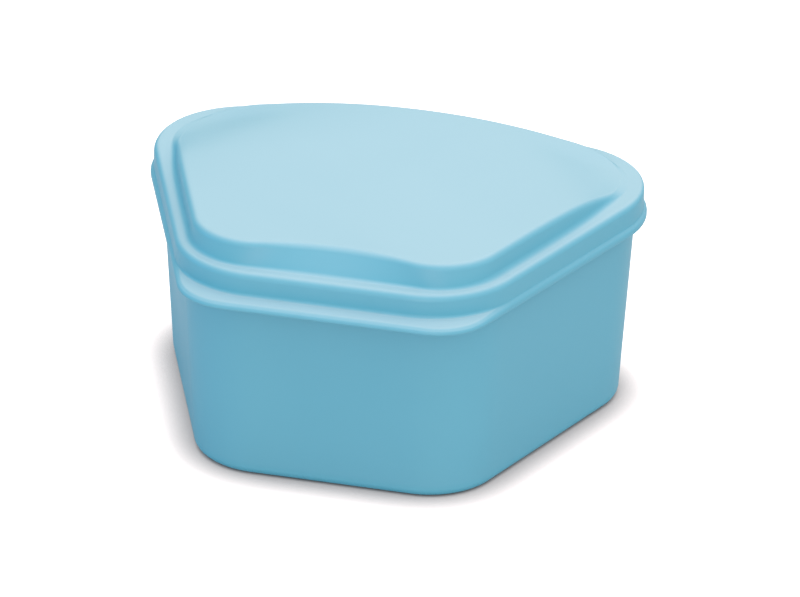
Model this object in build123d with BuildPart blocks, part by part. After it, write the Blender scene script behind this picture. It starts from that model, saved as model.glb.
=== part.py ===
"""Denture case: a deep keystone tub and the lift-off lid that presses down over its rim.

Both pieces are injection moulded. The narrow straight side is the front, towards -Y, and the
wide bowed side is the back. The origin is on the ground, in the middle of the closed case.
"""

import os
from math import cos, hypot, radians, sin, tan

from build123d import *

os.makedirs("parts", exist_ok=True)

# ---- The keystone plan, at the outside of the tub's rim (mm; corners are measured sharp) ----
narrow_side = 47.8
wide_side = 95.3
plan_depth = 58.7
wide_bow = 4.2  # how far the wide side bows out past its corners
narrow_round = 15.0
wide_round = 15.0

# ---- Tub ----
tub_height = 37.8
tub_wall = 1.5
tub_floor = 1.8
tub_draft = 3.2  # degrees, the same inside and outside
sole_round = 1.5
floor_round = 4.0
foot_width = 4.2  # the ring that the tub stands on
foot_height = 0.7
gate_width = 5.0  # shallow well round the moulding gate, under the floor
gate_depth = 0.5
rim_chamfer = 0.3

# ---- Lid: skirt and ledge ----
skirt_gap = 0.2  # between the rim and the inside of the skirt
skirt_wall = 1.0  # at the ledge, where the skirt is thinnest
skirt_draft = 2.2  # degrees, outside only
skirt_depth = 3.9  # from the underside of the ledge to the foot
ledge_thickness = 1.5
ledge_round = 0.85

# ---- Lid: flange at the foot of the skirt, a thumb lip in front and a fine bead elsewhere ----
flange_thickness = 1.15
flange_chamfer = 0.3
lip_reach = 3.0
lip_round = 10.0
bead_reach = 0.35  # beside the narrow corners
bead_end_reach = 0.2  # round the wide corners and along the back

# ---- Lid: crown, a raised panel whose sides run along the rim and whose front edge curves in ----
crown_height = 4.0  # above the ledge
crown_side_inset = 1.3  # from the rim's outside to the foot of the crown, at the sides and back
crown_front_inset = 1.6  # the same at the front, where the foot is straight
crown_draft_inset = 0.3  # how much smaller the crown is at its top
crown_corner_reach = 3.7  # the top's front corners, sharp, lie this far ahead of the foot
crown_scoop = 5.8  # how far the top's front edge curves in between those corners
crown_narrow_round = 13.0
crown_edge_round = 1.4
crown_wall = 1.4
crown_thickness = 1.4

# ---- Lid: the crown's top is level in the middle and bends down over both wide corners ----
dip_turn = 32.7  # degrees; each bend runs this far off square, so that it meets its corner
dip_start = 34.2  # from the middle of the rim's front to where the bend starts
dip_round = 108.0
dip_angle = 24.0
dip_run = 12.0  # length of the straight slope below the rounding
cover_reach = 90.0  # takes the bending cover past the crown on every side

# ---- Lid: rib that locates the lid inside the rim ----
rib_depth = 3.0
rib_thickness = 1.0
rib_gap = 0.3

# ---- Places that follow from the sizes ----
skirt_top_grow = skirt_gap + skirt_wall
skirt_height = skirt_depth + ledge_thickness
skirt_foot_grow = skirt_top_grow + skirt_height * tan(radians(skirt_draft))
front_reach = skirt_foot_grow + lip_reach
back_reach = skirt_foot_grow + bead_end_reach
front = (front_reach - plan_depth - wide_bow - back_reach) / 2  # Y of the rim's narrow side
back = front + plan_depth
ledge_top = tub_height + ledge_thickness
crown_top = ledge_top + crown_height
skirt_foot = tub_height - skirt_depth
floor_level = foot_height + tub_floor
sole_grow = -tub_height * tan(radians(tub_draft))
rib_grow = -(tub_wall + rib_depth * tan(radians(tub_draft)) + rib_gap)
flare = (wide_side - narrow_side) / 2 / plan_depth  # how fast the flanks widen towards the back


def keystone(level, narrow, wide, near, far, bow, rounds, grow=0.0, scoop=0.0):
    """A keystone outline: a narrow side at Y near, corners at Y far, and a bowed far side."""
    with BuildSketch(Plane.XY.offset(level)) as outline:
        with BuildLine():
            if scoop:
                ThreePointArc((-narrow / 2, near), (0, near + scoop), (narrow / 2, near))
            else:
                Line((-narrow / 2, near), (narrow / 2, near))
            Line((narrow / 2, near), (wide / 2, far))
            ThreePointArc((wide / 2, far), (0, far + bow), (-wide / 2, far))
            Line((-wide / 2, far), (-narrow / 2, near))
        make_face()
        fillet(outline.vertices().sort_by(Axis.Y)[:2], rounds[0])
        fillet(outline.vertices().sort_by(Axis.Y)[-2:], rounds[1])
        if grow:
            offset(amount=grow)
    return outline.sketch


def rim_plan(level, grow=0.0):
    """The plan of the tub's rim, grown or shrunk evenly all round."""
    rounds = (narrow_round, wide_round)
    return keystone(level, narrow_side, wide_side, front, back, wide_bow, rounds, grow)


def crown_plan(level, inset, reach=0.0, scoop=0.0):
    """The plan of the crown: the rim's, with its front moved in along the flanks."""
    near = front + crown_front_inset - crown_side_inset - reach
    narrow = narrow_side + 2 * (near - front) * flare
    rounds = (crown_narrow_round, wide_round)
    grow = -crown_side_inset - inset
    return keystone(level, narrow, wide_side, near, back, wide_bow, rounds, grow, scoop)


def flange_plan(level):
    """The plan of the flange: flank bead beside the narrow corners, thumb lip in front."""
    near = front - skirt_foot_grow - lip_reach
    far = back + skirt_foot_grow + bead_end_reach
    slant = hypot(1, flare)
    lip_half = narrow_side / 2 + (near - front) * flare + (skirt_foot_grow + bead_reach) * slant
    end_half = wide_side / 2 + (far - back) * flare + (skirt_foot_grow + bead_end_reach) * slant
    rounds = (lip_round, wide_round + skirt_foot_grow)
    return keystone(level, 2 * lip_half, 2 * end_half, near, far, wide_bow, rounds)


def bending_cover(top):
    """A body with a level top that bends down on both sides, over the wide corners."""
    along = (cos(radians(dip_turn)), sin(radians(dip_turn)), 0)
    across = (along[1], -along[0], 0)
    with BuildPart() as cover:
        with BuildSketch(Plane((0, front, 0), x_dir=along, z_dir=across)):
            with BuildLine():
                level = Line((-cover_reach, top), (dip_start, top))
                bend = JernArc(level @ 1, level % 1, dip_round, -dip_angle)
                slope = Line(bend @ 1, bend @ 1 + (bend % 1) * dip_run)
                Polyline(slope @ 1, ((slope @ 1).X, 0), (-cover_reach, 0), (-cover_reach, top))
            make_face()
        extrude(amount=cover_reach, both=True)
        mirror(about=Plane.YZ, mode=Mode.INTERSECT)
    return cover.part


# ---- Tub: drafted walls on a foot ring ----
with BuildPart() as tub:
    extrude(rim_plan(0, sole_grow), amount=tub_height, taper=-tub_draft)
    fillet(tub.faces().sort_by(Axis.Z)[0].edges(), sole_round)
    chamfer(tub.edges().group_by(Axis.Z)[-1], rim_chamfer)
    extrude(
        rim_plan(tub_height, -tub_wall),
        amount=floor_level - tub_height,
        taper=tub_draft,
        mode=Mode.SUBTRACT,
    )
    inner_floor = tub.faces().filter_by(Plane.XY).sort_by(Axis.Z)[1]
    fillet(inner_floor.edges(), floor_round)
    extrude(rim_plan(0, sole_grow - foot_width), amount=foot_height, mode=Mode.SUBTRACT)
    with BuildSketch(Plane.XY.offset(foot_height)):
        Circle(gate_width / 2)
    extrude(amount=gate_depth, mode=Mode.SUBTRACT)
tub.part.label = "tub"
export_step(tub.part, "parts/tub.step")

# ---- Lid: the crown on its own, rounded along its top edge and bent down at the wide corners ----
with BuildPart() as crown:
    loft([
        crown_plan(ledge_top, 0),
        crown_plan(crown_top, crown_draft_inset, crown_corner_reach, crown_scoop),
    ])
    fillet(crown.faces().sort_by(Axis.Z)[-1].edges(), crown_edge_round)
    add(bending_cover(crown_top), mode=Mode.INTERSECT)

# ---- Lid: the room inside it, which leaves a wall, a ledge over the rim and a locating rib ----
with BuildPart() as lid_room:
    hollow_top = crown_top - crown_thickness
    loft([
        crown_plan(tub_height, crown_wall),
        crown_plan(hollow_top, crown_wall + crown_draft_inset, crown_corner_reach, crown_scoop),
    ])
    add(bending_cover(hollow_top), mode=Mode.INTERSECT)
    extrude(rim_plan(skirt_foot, skirt_gap), amount=skirt_depth)
    with BuildSketch(Plane.XY.offset(tub_height - rib_depth)):
        add(rim_plan(0, rib_grow))
        add(rim_plan(0, rib_grow - rib_thickness), mode=Mode.SUBTRACT)
    extrude(amount=rib_depth + ledge_thickness, mode=Mode.SUBTRACT)

# ---- Lid: the flange, whose front runs out into the thumb lip ----
with BuildPart() as flange:
    extrude(flange_plan(skirt_foot), amount=flange_thickness)
    chamfer(flange.edges().filter_by(Plane.XY), flange_chamfer)

with BuildPart() as lid:
    extrude(rim_plan(ledge_top, skirt_top_grow), amount=-skirt_height, taper=-skirt_draft)
    fillet(lid.faces().sort_by(Axis.Z)[-1].edges(), ledge_round)
    add(crown.part)
    add(flange.part)
    add(lid_room.part, mode=Mode.SUBTRACT)
lid.part.label = "lid"
export_step(lid.part, "parts/lid.step")
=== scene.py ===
from math import acos, cos, pi, radians, sin, sqrt, tan

import bmesh
import bpy
from mathutils import Matrix, Vector


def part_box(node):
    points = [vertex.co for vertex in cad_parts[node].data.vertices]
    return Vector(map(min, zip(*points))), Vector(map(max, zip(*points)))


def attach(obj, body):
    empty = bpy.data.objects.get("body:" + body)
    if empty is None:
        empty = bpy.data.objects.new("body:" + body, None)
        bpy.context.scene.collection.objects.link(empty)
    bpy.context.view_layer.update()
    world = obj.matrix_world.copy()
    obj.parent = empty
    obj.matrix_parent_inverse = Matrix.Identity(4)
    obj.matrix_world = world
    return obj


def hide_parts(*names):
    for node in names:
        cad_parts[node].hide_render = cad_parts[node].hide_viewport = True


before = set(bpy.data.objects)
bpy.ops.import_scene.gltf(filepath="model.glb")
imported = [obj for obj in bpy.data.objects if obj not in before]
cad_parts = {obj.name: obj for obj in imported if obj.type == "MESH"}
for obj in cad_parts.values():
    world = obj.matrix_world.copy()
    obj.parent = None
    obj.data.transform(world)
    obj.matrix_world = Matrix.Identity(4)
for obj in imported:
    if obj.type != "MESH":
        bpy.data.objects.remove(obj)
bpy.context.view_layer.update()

mm = 0.001
scene = bpy.context.scene
scene.view_settings.view_transform = "Standard"


# ---- Camera ---------------------------------------------------------------------------------------
# A long lens, a little over a metre away, looks down on the front of the case from its right-hand side.
camera_azimuth = radians(13.8)
camera_elevation = radians(26.97)
camera_roll = radians(0.95)
camera_distance = 1040 * mm
camera_aim = Vector((4.25, 2.29, 20.97)) * mm
camera_lens = 275.13  # millimetres, on a sensor 36 mm wide

towards_camera = Vector((
    sin(camera_azimuth) * cos(camera_elevation),
    -cos(camera_azimuth) * cos(camera_elevation),
    sin(camera_elevation),
))
camera = bpy.data.objects.new("camera", bpy.data.cameras.new("camera"))
camera.data.lens = camera_lens
camera.data.clip_start = 0.01
camera.data.clip_end = 20
camera.matrix_world = (
    Matrix.Translation(camera_aim + towards_camera * camera_distance)
    @ towards_camera.to_track_quat("Z", "Y").to_matrix().to_4x4()
    @ Matrix.Rotation(camera_roll, 4, "Z")
)
scene.collection.objects.link(camera)
scene.camera = camera


# ---- Floor and backdrop ---------------------------------------------------------------------------
# A plain white table top that runs out to the horizon and takes the soft shadow of the case. For the
# camera only, its paint is greyer and a glow lifts it to the white of the backdrop. The glow fades
# right beside the case, which is a painted contact shadow. The room is white above and on the right,
# and dim blue-green on the left.
floor_half = 4.0
floor_white = (0.66, 0.66, 0.66, 1)
floor_seen = (0.25, 0.25, 0.25, 1)  # the same table, for the camera
floor_lift = 1.24
floor_glow = (1, 0.93, 0.92, 1)
painted_shadow_reach = 7.5 * mm  # how far from the case the glow starts to fade into the painted contact shadow
painted_shadow_depth = 2
room_left = (0.11, 0.42, 0.42, 1)
room_right = (1.00, 1.05, 1.07, 1)
room_above = 0.6  # how much looking up counts as looking right
room_turn_start, room_turn_end = -0.6, 0.25  # leftmost and rightmost reach of the change of colour
backdrop_seen = (1, 1, 1, 1)  # the room, for the camera

floor_mesh = bmesh.new()
bmesh.ops.create_grid(floor_mesh, x_segments=8, y_segments=8, size=floor_half)
floor = bpy.data.objects.new("floor", bpy.data.meshes.new("floor"))
floor_mesh.to_mesh(floor.data)
floor_mesh.free()
scene.collection.objects.link(floor)

floor_paint = bpy.data.materials.new("white_table")
floor_paint.use_nodes = True
nodes, links = floor_paint.node_tree.nodes, floor_paint.node_tree.links
nodes.clear()
matt = nodes.new("ShaderNodeBsdfDiffuse")
glow = nodes.new("ShaderNodeEmission")
seen = nodes.new("ShaderNodeLightPath")
tone = nodes.new("ShaderNodeMix")
tone.data_type = "RGBA"
tone.inputs["A"].default_value = floor_white
tone.inputs["B"].default_value = floor_seen
lift = nodes.new("ShaderNodeMath")
lift.operation = "MULTIPLY"
lift.inputs[1].default_value = floor_lift
# Painted contact shadow: ambient occlusion dims the camera-only glow right beside the case.
painted_shadow_ao = nodes.new("ShaderNodeAmbientOcclusion")
painted_shadow_ao.inputs["Distance"].default_value = painted_shadow_reach
painted_shadow_ao.samples = 8
deepen = nodes.new("ShaderNodeMath")
deepen.operation = "POWER"
deepen.inputs[1].default_value = painted_shadow_depth
shade = nodes.new("ShaderNodeMix")
shade.data_type = "RGBA"
shade.inputs["A"].default_value = (0, 0, 0, 1)
shade.inputs["B"].default_value = floor_glow
both = nodes.new("ShaderNodeAddShader")
out = nodes.new("ShaderNodeOutputMaterial")
links.new(seen.outputs["Is Camera Ray"], tone.inputs["Factor"])
links.new(tone.outputs["Result"], matt.inputs["Color"])
links.new(seen.outputs["Is Camera Ray"], lift.inputs[0])
links.new(lift.outputs[0], glow.inputs["Strength"])
links.new(painted_shadow_ao.outputs["AO"], deepen.inputs[0])
links.new(deepen.outputs[0], shade.inputs["Factor"])
links.new(shade.outputs["Result"], glow.inputs["Color"])
links.new(matt.outputs[0], both.inputs[0])
links.new(glow.outputs[0], both.inputs[1])
links.new(both.outputs[0], out.inputs["Surface"])
floor.data.materials.append(floor_paint)

sky = bpy.data.worlds.new("studio")
scene.world = sky
sky.use_nodes = True
nodes, links = sky.node_tree.nodes, sky.node_tree.links
backdrop = nodes["Background"]
seen = nodes.new("ShaderNodeLightPath")
way = nodes.new("ShaderNodeTexCoord")
side = nodes.new("ShaderNodeSeparateXYZ")
height = nodes.new("ShaderNodeMath")
height.operation = "MULTIPLY_ADD"
height.inputs[1].default_value = room_above
turn = nodes.new("ShaderNodeMapRange")
turn.inputs["From Min"].default_value = room_turn_start
turn.inputs["From Max"].default_value = room_turn_end
room = nodes.new("ShaderNodeMix")
room.data_type = "RGBA"
room.inputs["A"].default_value = room_left
room.inputs["B"].default_value = room_right
shown = nodes.new("ShaderNodeMix")
shown.data_type = "RGBA"
shown.inputs["B"].default_value = backdrop_seen
links.new(way.outputs["Generated"], side.inputs["Vector"])
links.new(side.outputs["Z"], height.inputs[0])
links.new(side.outputs["X"], height.inputs[2])
links.new(height.outputs[0], turn.inputs["Value"])
links.new(turn.outputs["Result"], room.inputs["Factor"])
links.new(room.outputs["Result"], shown.inputs["A"])
links.new(seen.outputs["Is Camera Ray"], shown.inputs["Factor"])
links.new(shown.outputs["Result"], backdrop.inputs["Color"])


# ---- Studio lights --------------------------------------------------------------------------------
# Three square soft boxes: a large one overhead, a warm fill low in front, and a weak blue one at the
# left. All of them point at the lower half of the case.
lamps_aim = Vector((0, 0, 0.02))


def soft_box(name, place, size, watts, tint):
    """A square soft box that faces the case."""
    lamp = bpy.data.lights.new(name, "AREA")
    lamp.size = size
    lamp.energy = watts
    lamp.color = tint
    box = bpy.data.objects.new(name, lamp)
    box.location = place
    box.rotation_euler = (lamps_aim - Vector(place)).to_track_quat("-Z", "Y").to_euler()
    scene.collection.objects.link(box)


soft_box("overhead_box", (0, 0, 0.95), 0.8, 2.9, (1.0, 0.90, 0.93))
soft_box("front_box", (0.1, -0.95, 0.25), 0.4, 3.2, (1.0, 0.58, 0.53))
soft_box("left_box", (-0.85, -0.2, 0.22), 0.4, 1.5, (0.1, 0.35, 0.75))


# ---- Satin plastic, shared by both mouldings ------------------------------------------------------
# Light aqua polypropylene, coloured right through. The tool's fine spark finish scatters the gloss,
# and the colour clouds very slightly where the melt flowed and cooled. Faces that look up are painted
# paler, as painted top light, and the creases are painted deeper, as painted shade.
aqua_deep = (0.120, 0.395, 0.520, 1)
aqua_pale = (0.140, 0.425, 0.550, 1)
roughness_low, roughness_high = 0.36, 0.46
spark_scale = 1400
spark_height = 0.02 * mm
# Painted top light: faces that look up are mixed towards a paler colour, standing in for light from
# above.
painted_top_light_colour = (0.85, 0.86, 0.83, 1)
painted_top_light_share = 0.34
painted_top_light_fall = 5  # how fast the painted top light fades as a face turns away from level
painted_top_light_patch = 0.1
# Painted shade: the colour is multiplied darker where ambient occlusion finds nearby surfaces, in
# creases and at the feet of walls.
painted_crease_shade_reach = 2.6 * mm
painted_crease_shade = (0.70, 0.96, 0.98, 1)

skin_and_painted_top_light = bpy.data.node_groups.new("skin_and_painted_top_light", "ShaderNodeTree")
for socket, kind, direction in (
    ("Cloud Scale", "NodeSocketFloat", "INPUT"),
    ("Grain Scale", "NodeSocketFloat", "INPUT"),
    ("Roughness Low", "NodeSocketFloat", "INPUT"),
    ("Roughness High", "NodeSocketFloat", "INPUT"),
    ("Cloud", "NodeSocketFloat", "OUTPUT"),
    ("Painted Top Light", "NodeSocketFloat", "OUTPUT"),
    ("Roughness", "NodeSocketFloat", "OUTPUT"),
    ("Height", "NodeSocketFloat", "OUTPUT"),
):
    skin_and_painted_top_light.interface.new_socket(socket, in_out=direction, socket_type=kind)
nodes, links = skin_and_painted_top_light.nodes, skin_and_painted_top_light.links
given = nodes.new("NodeGroupInput")
made = nodes.new("NodeGroupOutput")
place = nodes.new("ShaderNodeTexCoord")
cloud = nodes.new("ShaderNodeTexNoise")
cloud.inputs["Detail"].default_value = 3
cloud.inputs["Distortion"].default_value = 0.6
grain = nodes.new("ShaderNodeTexNoise")
grain.inputs["Detail"].default_value = 4
grain.inputs["Roughness"].default_value = 0.6
gloss = nodes.new("ShaderNodeMapRange")
gloss.inputs["From Min"].default_value = 0.3
gloss.inputs["From Max"].default_value = 0.7
# Painted top light: how far a face looks up sets how much of the paler colour is mixed in.
lie = nodes.new("ShaderNodeNewGeometry")
upward = nodes.new("ShaderNodeSeparateXYZ")
above = nodes.new("ShaderNodeMath")
above.operation = "MAXIMUM"
above.inputs[1].default_value = 0
top_light_falloff = nodes.new("ShaderNodeMath")
top_light_falloff.operation = "POWER"
top_light_falloff.inputs[1].default_value = painted_top_light_fall
patchy = nodes.new("ShaderNodeMapRange")
patchy.inputs["To Min"].default_value = 1 - painted_top_light_patch
patchy.inputs["To Max"].default_value = 1 + painted_top_light_patch
painted_top_light = nodes.new("ShaderNodeMath")
painted_top_light.operation = "MULTIPLY"
links.new(lie.outputs["Normal"], upward.inputs["Vector"])
links.new(upward.outputs["Z"], above.inputs[0])
links.new(above.outputs[0], top_light_falloff.inputs[0])
links.new(cloud.outputs["Fac"], patchy.inputs["Value"])
links.new(top_light_falloff.outputs[0], painted_top_light.inputs[0])
links.new(patchy.outputs["Result"], painted_top_light.inputs[1])
links.new(painted_top_light.outputs[0], made.inputs["Painted Top Light"])
links.new(place.outputs["Object"], cloud.inputs["Vector"])
links.new(place.outputs["Object"], grain.inputs["Vector"])
links.new(given.outputs["Cloud Scale"], cloud.inputs["Scale"])
links.new(given.outputs["Grain Scale"], grain.inputs["Scale"])
links.new(cloud.outputs["Fac"], gloss.inputs["Value"])
links.new(given.outputs["Roughness Low"], gloss.inputs["To Min"])
links.new(given.outputs["Roughness High"], gloss.inputs["To Max"])
links.new(cloud.outputs["Fac"], made.inputs["Cloud"])
links.new(gloss.outputs["Result"], made.inputs["Roughness"])
links.new(grain.outputs["Fac"], made.inputs["Height"])


def satin_plastic(name, cloud_scale):
    """The plastic of one moulding, clouded between its deeper and its paler colour, with painted top
    light on faces that look up and painted shade in the creases.
    """
    plastic = bpy.data.materials.new(name)
    plastic.use_nodes = True
    nodes, links = plastic.node_tree.nodes, plastic.node_tree.links
    shader = nodes["Principled BSDF"]
    shader.inputs["IOR"].default_value = 1.45
    shader.inputs["Specular IOR Level"].default_value = 0.3
    skin = nodes.new("ShaderNodeGroup")
    skin.node_tree = skin_and_painted_top_light
    skin.inputs["Cloud Scale"].default_value = cloud_scale
    skin.inputs["Grain Scale"].default_value = spark_scale
    skin.inputs["Roughness Low"].default_value = roughness_low
    skin.inputs["Roughness High"].default_value = roughness_high
    tone = nodes.new("ShaderNodeMix")
    tone.data_type = "RGBA"
    tone.inputs["A"].default_value = aqua_deep
    tone.inputs["B"].default_value = aqua_pale
    share = nodes.new("ShaderNodeMath")
    share.operation = "MULTIPLY"
    share.inputs[1].default_value = painted_top_light_share
    # Painted top light: upward faces are mixed towards the paler colour.
    top_lit_tone = nodes.new("ShaderNodeMix")
    top_lit_tone.data_type = "RGBA"
    top_lit_tone.inputs["B"].default_value = painted_top_light_colour
    # Painted shade: ambient occlusion darkens the colour in creases.
    nearby = nodes.new("ShaderNodeAmbientOcclusion")
    nearby.inputs["Distance"].default_value = painted_crease_shade_reach
    nearby.samples = 8
    crease_shade_amount = nodes.new("ShaderNodeMapRange")
    crease_shade_amount.inputs["From Min"].default_value = 1.0
    crease_shade_amount.inputs["From Max"].default_value = 0.5
    crease_shaded = nodes.new("ShaderNodeMix")
    crease_shaded.data_type = "RGBA"
    crease_shaded.blend_type = "MULTIPLY"
    crease_shaded.inputs["B"].default_value = painted_crease_shade
    relief = nodes.new("ShaderNodeBump")
    relief.inputs["Distance"].default_value = spark_height
    relief.inputs["Strength"].default_value = 0.5
    links.new(skin.outputs["Cloud"], tone.inputs["Factor"])
    links.new(nearby.outputs["AO"], crease_shade_amount.inputs["Value"])
    links.new(crease_shade_amount.outputs["Result"], crease_shaded.inputs["Factor"])
    links.new(tone.outputs["Result"], crease_shaded.inputs["A"])
    links.new(skin.outputs["Painted Top Light"], share.inputs[0])
    links.new(share.outputs[0], top_lit_tone.inputs["Factor"])
    links.new(crease_shaded.outputs["Result"], top_lit_tone.inputs["A"])
    links.new(top_lit_tone.outputs["Result"], shader.inputs["Base Color"])
    links.new(skin.outputs["Roughness"], shader.inputs["Roughness"])
    links.new(skin.outputs["Height"], relief.inputs["Height"])
    links.new(relief.outputs["Normal"], shader.inputs["Normal"])
    return plastic


# ---- Tub ------------------------------------------------------------------------------------------
# The open container, one injection moulding: a keystone plan with drafted walls, a rounded sole on a
# foot ring with the gate's well in the middle, a plain rim, and a floor with a full radius inside.
tub_height = 37.8 * mm
narrow_side = 47.8 * mm
wide_side = 95.3 * mm
plan_depth = 58.7 * mm
wide_bow = 4.2 * mm
narrow_round = 15.0 * mm
wide_round = 15.0 * mm
tub_wall = 1.5 * mm
floor_level = 2.5 * mm
tub_draft = tan(radians(3.2))
sole_round = 1.5 * mm
floor_round = 4.0 * mm
foot_width = 4.2 * mm
foot_height = 0.7 * mm
gate_radius = 2.5 * mm
gate_depth = 0.5 * mm
edge_round = 0.3 * mm
flat_run = 3 * mm  # of the underside, before its faces narrow towards the middle
floor_run = 1 * mm  # the same on the floor inside
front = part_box("tub")[0].y - edge_round * tub_draft  # Y of the rim's narrow side, at its sharp edge

flare = (wide_side - narrow_side) / 2 / plan_depth  # how fast the flanks widen towards the back
back = front + plan_depth
steps_front, steps_corner, steps_flank, steps_back = 14, 18, 30, 30  # along half of the plan


def arc(centre, radius, start, end, steps):
    """Points and normals along an arc between two directions, without the last one."""
    swing = acos(max(-1, min(1, start.dot(end))))
    found = []
    for step in range(steps):
        part = step / steps
        normal = (start * sin((1 - part) * swing) + end * sin(part * swing)) / sin(swing)
        found.append((centre + normal * radius, normal))
    return found


def keystone(near, corner_round, scoop=0.0):
    """The keystone with its narrow side at Y near, as points and outward normals round the loop.

    The flanks and the wide side stay where the rim's are. A scoop curves the narrow side inwards.
    """
    corner = Vector((narrow_side / 2 + (near - front) * flare, near))
    wide_corner = Vector((wide_side / 2, back))
    along = (wide_corner - corner).normalized()
    flank = Vector((along.y, -along.x))
    ahead = Vector((0, -1))

    if scoop:
        scoop_radius = (corner.x**2 + scoop**2) / (2 * scoop)
        scoop_centre = Vector((0, near + scoop - scoop_radius))
        base = corner - flank * corner_round
        lead = (base - scoop_centre).dot(along)
        gap = (base - scoop_centre).length_squared - (scoop_radius + corner_round) ** 2
        narrow_centre = base + along * (sqrt(lead**2 - gap) - lead)
        turn = (scoop_centre - narrow_centre).normalized()
        front_half = [
            (point, -normal)
            for point, normal in arc(scoop_centre, scoop_radius, -ahead, -turn, steps_front)
        ]
    else:
        narrow_x = (flank.dot(corner) - corner_round - flank.y * (near + corner_round)) / flank.x
        narrow_centre = Vector((narrow_x, near + corner_round))
        turn = ahead
        front_half = [
            (Vector((narrow_x * step / steps_front, near)), ahead) for step in range(steps_front)
        ]

    bow_radius = (wide_corner.x**2 + wide_bow**2) / (2 * wide_bow)
    bow_centre = Vector((0, back + wide_bow - bow_radius))
    base = corner - flank * wide_round
    lead = (base - bow_centre).dot(along)
    gap = (base - bow_centre).length_squared - (bow_radius - wide_round) ** 2
    wide_centre = base + along * (sqrt(lead**2 - gap) - lead)
    behind = (wide_centre - bow_centre).normalized()

    flank_start = narrow_centre + flank * corner_round
    flank_end = wide_centre + flank * wide_round
    half = (
        front_half
        + arc(narrow_centre, corner_round, turn, flank, steps_corner)
        + [
            (flank_start.lerp(flank_end, step / steps_flank), flank)
            for step in range(steps_flank)
        ]
        + arc(wide_centre, wide_round, flank, behind, steps_corner)
        + arc(bow_centre, bow_radius, behind, -ahead, steps_back)
    )
    middle = (Vector((0, back + wide_bow)), -ahead)
    flip = [
        (Vector((-point.x, point.y)), Vector((-normal.x, normal.y)))
        for point, normal in reversed(half[1:])
    ]
    return half + [middle] + flip


def rounded(corners, steps=5):
    """A section through (out, up, radius) corners, with each corner turned into an arc."""
    spots = [Vector(corner[:2]) for corner in corners]
    found = [spots[0]]
    for index in range(1, len(corners) - 1):
        before, spot, after = spots[index - 1 : index + 2]
        last, corner, following = corners[index - 1 : index + 2]
        back_way, on_way = before - spot, after - spot
        half_angle = acos(max(-1, min(1, back_way.normalized().dot(on_way.normalized())))) / 2
        room = [
            way.length * (0.48 if other[2] else 0.96)
            for way, other in ((back_way, last), (on_way, following))
        ]
        reach = min(corner[2] / tan(half_angle), *room)
        start = spot + back_way.normalized() * reach
        end = spot + on_way.normalized() * reach
        middle = (back_way.normalized() + on_way.normalized()).normalized()
        centre = spot + middle * (reach / cos(half_angle))
        swing = pi - 2 * half_angle
        for step in range(steps + 1):
            part = step / steps
            arm = (start - centre) * sin((1 - part) * swing) + (end - centre) * sin(part * swing)
            found.append(centre + arm / sin(swing))
    return found + [spots[-1]]


def moulding(name, first_pole, sections, last_pole, plastic):
    """A closed shell: one section for each point of the plan, joined round, with a pole at each end."""
    mesh = bmesh.new()
    grid = [[mesh.verts.new(spot) for spot in section] for section in sections]
    start, end = mesh.verts.new(first_pole), mesh.verts.new(last_pole)
    for left, right in zip(grid, grid[1:] + grid[:1]):
        mesh.faces.new((start, left[0], right[0]))
        for i in range(len(left) - 1):
            mesh.faces.new((left[i], left[i + 1], right[i + 1], right[i]))
        mesh.faces.new((left[-1], end, right[-1]))
    bmesh.ops.recalc_face_normals(mesh, faces=mesh.faces)
    piece = bpy.data.objects.new(name, bpy.data.meshes.new(name))
    mesh.to_mesh(piece.data)
    mesh.free()
    piece.data.shade_smooth()
    piece.data.materials.append(plastic)
    scene.collection.objects.link(piece)
    even = piece.modifiers.new("even_light", "WEIGHTED_NORMAL")
    even.weight = 100
    return piece


sole_grow = -tub_height * tub_draft
floor_grow = -tub_wall - (tub_height - floor_level) * tub_draft
tub_profile = rounded([
    (sole_grow - foot_width - flat_run, foot_height, 0),
    (sole_grow - foot_width, foot_height, edge_round),
    (sole_grow - foot_width, 0, edge_round),
    (sole_grow, 0, sole_round),
    (0, tub_height, edge_round),
    (-tub_wall, tub_height, edge_round),
    (floor_grow, floor_level, floor_round),
    (floor_grow - floor_round - floor_run, floor_level, 0),
])
gate_ring = [
    (0.4 * gate_radius, foot_height + gate_depth),
    (gate_radius - edge_round, foot_height + gate_depth),
    (gate_radius, foot_height + gate_depth - edge_round),
    (gate_radius, foot_height + edge_round / 2),
    (gate_radius + edge_round / 2, foot_height),
]
tub_sections = []
for point, normal in keystone(front, narrow_round):
    away = point.normalized()
    gate = [Vector((away.x * radius, away.y * radius, z)) for radius, z in gate_ring]
    wall = [(point + normal * out).to_3d() + Vector((0, 0, z)) for out, z in tub_profile]
    tub_sections.append(gate + wall)

tub = moulding(
    "tub_moulding",
    Vector((0, 0, foot_height + gate_depth)),
    tub_sections,
    Vector((0, 0, floor_level)),
    satin_plastic("tub_plastic", cloud_scale=18),
)
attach(tub, "tub")
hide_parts("tub")


# ---- Lid ------------------------------------------------------------------------------------------
# The lift-off cover, one injection moulding in the same plastic: a raised crown, the ledge round it, a
# skirt that hangs over the rim, with a thumb lip along its foot that thins into a fine bead, and a
# locating rib inside. Its places in plan are measured from the outside of the rim.
skirt_grow = 1.2 * mm
skirt_foot_grow = 1.4 * mm  # the lip's and the bead's reach starts here
skirt_inside = 0.2 * mm
skirt_foot = 33.9 * mm
inside_round = 0.2 * mm
ledge_top = 39.3 * mm
ledge_round = 1.15 * mm
ledge_back_sharper = 0.6  # share of that rounding which is gone along the back
foot_share, seam_share, edge_share = 0.45, 0.46, 0.48  # of the ledge's width, for its two roundings
lip_reach = 3.0 * mm
lip_thickness = 1.15 * mm
lip_shoulder = 0.4 * mm  # rise of its top from the brink to the skirt
lip_root = 0.6 * mm
lip_round = 10.0 * mm  # of the lip's plan, at the narrow corners
lip_edge = 1.0 * mm
lip_foot_round = 0.3 * mm
lip_slope = 0.5 * mm  # height of the sloping face along the edge
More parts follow.
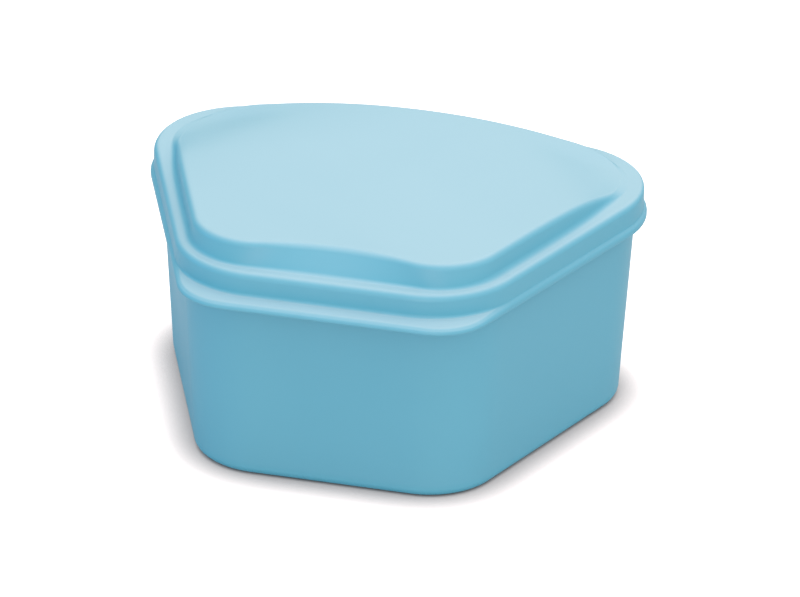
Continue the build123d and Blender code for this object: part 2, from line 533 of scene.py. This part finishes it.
lip_slope_in = 0.7 * mm
slope_least = 0.12 * mm
bead_reach = 0.30 * mm  # beside the narrow corners
bead_end = 0.38 * mm  # beside the wide corners
bead_back = 0.2 * mm
bead_thickness = 1.5 * mm
bead_shoulder = 0.12 * mm
rib_out = -1.97 * mm
rib_in = -2.97 * mm
rib_foot = 34.8 * mm
rib_round = 0.35 * mm
crown_middle_in = 31 * mm
crown_height = 4.0 * mm
crown_side_inset = 1.3 * mm
crown_front_inset = 1.6 * mm
crown_draft = 0.3 * mm
crown_corner_reach = 3.7 * mm
crown_scoop = 6.6 * mm  # how far the front edge of its top curves in
crown_round = 13.0 * mm
crown_edge = 1.1 * mm
crown_edge_shrink = 0.12  # how fast that rounding shrinks where the front edge curves in
crown_edge_run = 0.4 * mm
crown_lean = 2.2 * mm
crown_foot_round = 0.5 * mm  # in front, and five times that along the back
crown_thickness = 1.4 * mm
crown_wall = 1.4 * mm
dip_turn = radians(32.7)  # each bend of the top runs this far off square
dip_start = 34.2 * mm
dip_radius = 108 * mm
dip_ease = 6 * mm
merge_ease = 0.5 * mm  # where the bent top meets the ledge
settle_height = 3.4 * mm  # below this the top settles into the ledge, except along the back
settle_near = 23 * mm  # Y where the settling starts to fade
settle_far = 30 * mm  # Y where it has gone
settle_in = 1.2 * mm
crown_rings = 18


def eased(value, ease):
    """The value where it is above zero, and nearly nothing below, with a soft bend between."""
    return (value + sqrt(value**2 + ease**2)) / 2


def crown_level(spot):
    """Height of the crown's top over the ledge: level, and bent down over the wide corners."""
    across = cos(dip_turn) * abs(spot.x) + sin(dip_turn) * (spot.y - front)
    run = eased(across - dip_start, dip_ease)
    drop = dip_radius - sqrt(dip_radius**2 - min(run, dip_radius) ** 2)
    level = eased(crown_height - drop, merge_ease) - merge_ease**2 / 4 / crown_height
    share = min(1, level / settle_height)
    settled = level * share**2 * (3 - 2 * share)
    beside = min(1, max(0, (settle_far - spot.y) / (settle_far - settle_near)))
    return level + (settled - level) * beside**2 * (3 - 2 * beside)


def lip_at(point, normal, index):
    """How far the lip or bead stands out of the skirt, along the outward normal of the rim."""
    # Beside the flanks and at the back: the bead.
    along = min(1, max(0, (index - steps_front - steps_corner) / steps_flank))
    behind = min(1, max(0, 2 * normal.y - 0.6))
    bead = bead_reach + (bead_end - bead_reach) * along
    bead += (bead_back - bead) * behind
    flank = Vector((1, -flare)).normalized()
    if -normal.y < -flank.y + 0.001:
        return bead

    # In front: out to the lip's outline, which is a straight front, a corner arc and the bead's line.
    spot, way = Vector((abs(point.x), point.y)), Vector((abs(normal.x), normal.y))
    lip_front = front - skirt_foot_grow - lip_reach
    flank_line = flank.dot(Vector((narrow_side / 2, front))) + skirt_foot_grow + bead_reach
    centre_y = lip_front + lip_round
    centre = Vector(((flank_line - lip_round - flank.y * centre_y) / flank.x, centre_y))
    arm = spot - centre
    lead = arm.dot(way)
    to_lip = sqrt(max(0, lead**2 - arm.length_squared + lip_round**2)) - lead
    landing = arm + way * to_lip
    if landing.x < 0:
        to_lip = (spot.y - lip_front) / -way.y
    elif landing.dot(Vector((-flank.y, flank.x))) > 0:
        to_lip = (flank_line - spot.dot(flank)) / way.dot(flank)
    return to_lip - skirt_foot_grow


rim = keystone(front, narrow_round)
crown_foot = keystone(front + crown_front_inset - crown_side_inset, crown_round)
crown_brow = keystone(
    front + crown_front_inset - crown_side_inset - crown_corner_reach, crown_round, crown_scoop
)
crown_middle = Vector((0, front + crown_middle_in))


def crown_plan(index, out, up):
    """A point of the crown's side, out from its wall, at a height over the ledge."""
    low_point, low_normal = crown_foot[index]
    high_point, high_normal = crown_brow[index]
    share = up / crown_height
    low = low_point + low_normal * (out - crown_side_inset)
    high = high_point + high_normal * (out - crown_side_inset - crown_draft)
    return low.lerp(high, share)


lid_sections = []
for index, (point, normal) in enumerate(rim):
    # The crown's side, which leans back and moves in where the top is low, but not along the back.
    edge = crown_plan(index, -crown_edge, crown_height)
    rise = crown_level(edge)
    low = 1 - rise / crown_height
    ahead_of_back = min(1, max(0, 1 - normal.y))
    lean = crown_lean * low * ahead_of_back
    foot_in = settle_in * 4 * low**2 * (1 - low) * ahead_of_back
    recess = (crown_plan(index, 0, 0) - crown_plan(index, 0, crown_height)).dot(normal)
    edge_round_here = crown_edge - crown_edge_shrink * max(0, recess - crown_draft)
    ledge = (point - crown_plan(index, 0, 0)).dot(normal) + skirt_grow
    side = rounded([
        (-lean - edge_round_here - crown_edge_run, rise, 0),
        (-lean, rise, edge_round_here),
        (-foot_in, 0, min(crown_foot_round * (3 + 2 * normal.y), foot_share * ledge)),
        (seam_share * ledge, 0, 0),
    ])
    crown_part = []
    for ring in range(1, crown_rings + 1):
        spot = crown_middle.lerp(crown_plan(index, side[0].x, crown_height), ring / crown_rings)
        crown_part.append(Vector((spot.x, spot.y, ledge_top + crown_level(spot))))
    for out, up in side[1:]:
        spot = crown_plan(index, out, up)
        crown_part.append(Vector((spot.x, spot.y, ledge_top + up)))

    # The ledge, the skirt, the lip or bead at its foot, the groove over the rim and the rib.
    ledge_round_here = ledge_round * (1 - ledge_back_sharper * min(1, max(0, normal.y + 0.5)))
    reach = lip_at(point, normal, min(index, len(rim) - index))
    lip_out = skirt_foot_grow + reach
    fullness = min(1, max(0, (reach - bead_reach) / (lip_reach - bead_reach)))
    shoulder = bead_shoulder + (lip_shoulder - bead_shoulder) * fullness
    brink = skirt_foot + bead_thickness + (lip_thickness - bead_thickness) * fullness
    slope_in = min(lip_slope_in, reach + slope_least)
    rib_top = min(ledge_top, ledge_top - crown_thickness + rise)
    skirt = rounded([
        (skirt_grow - 0.5 * ledge, ledge_top, 0),
        (skirt_grow, ledge_top, min(ledge_round_here, edge_share * ledge)),
        (skirt_grow, brink + shoulder, lip_root),
        (lip_out - slope_in, brink, lip_edge),
        (lip_out, brink - lip_slope, lip_edge),
        (lip_out, skirt_foot, lip_foot_round),
        (skirt_inside, skirt_foot, inside_round),
        (skirt_inside, tub_height, inside_round),
        (rib_out, tub_height, inside_round),
        (rib_out, rib_foot, rib_round),
        (rib_in, rib_foot, rib_round),
        (rib_in, rib_top, 0),
    ])
    skirt_part = [(point + normal * out).to_3d() + Vector((0, 0, z)) for out, z in skirt[1:]]

    # The underside of the crown, from its wall in to the middle.
    inside = []
    inner_edge = crown_plan(index, -crown_wall, crown_height - crown_thickness)
    for ring in range(crown_rings, 0, -1):
        spot = crown_middle.lerp(inner_edge, ring / crown_rings)
        inside.append(Vector((spot.x, spot.y, ledge_top - crown_thickness + crown_level(spot))))
    lid_sections.append(crown_part + skirt_part + inside)

lid = moulding(
    "lid_moulding",
    Vector((crown_middle.x, crown_middle.y, ledge_top + crown_height)),
    lid_sections,
    Vector((crown_middle.x, crown_middle.y, ledge_top + crown_height - crown_thickness)),
    satin_plastic("lid_plastic", cloud_scale=16),
)
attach(lid, "lid")
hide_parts("lid")
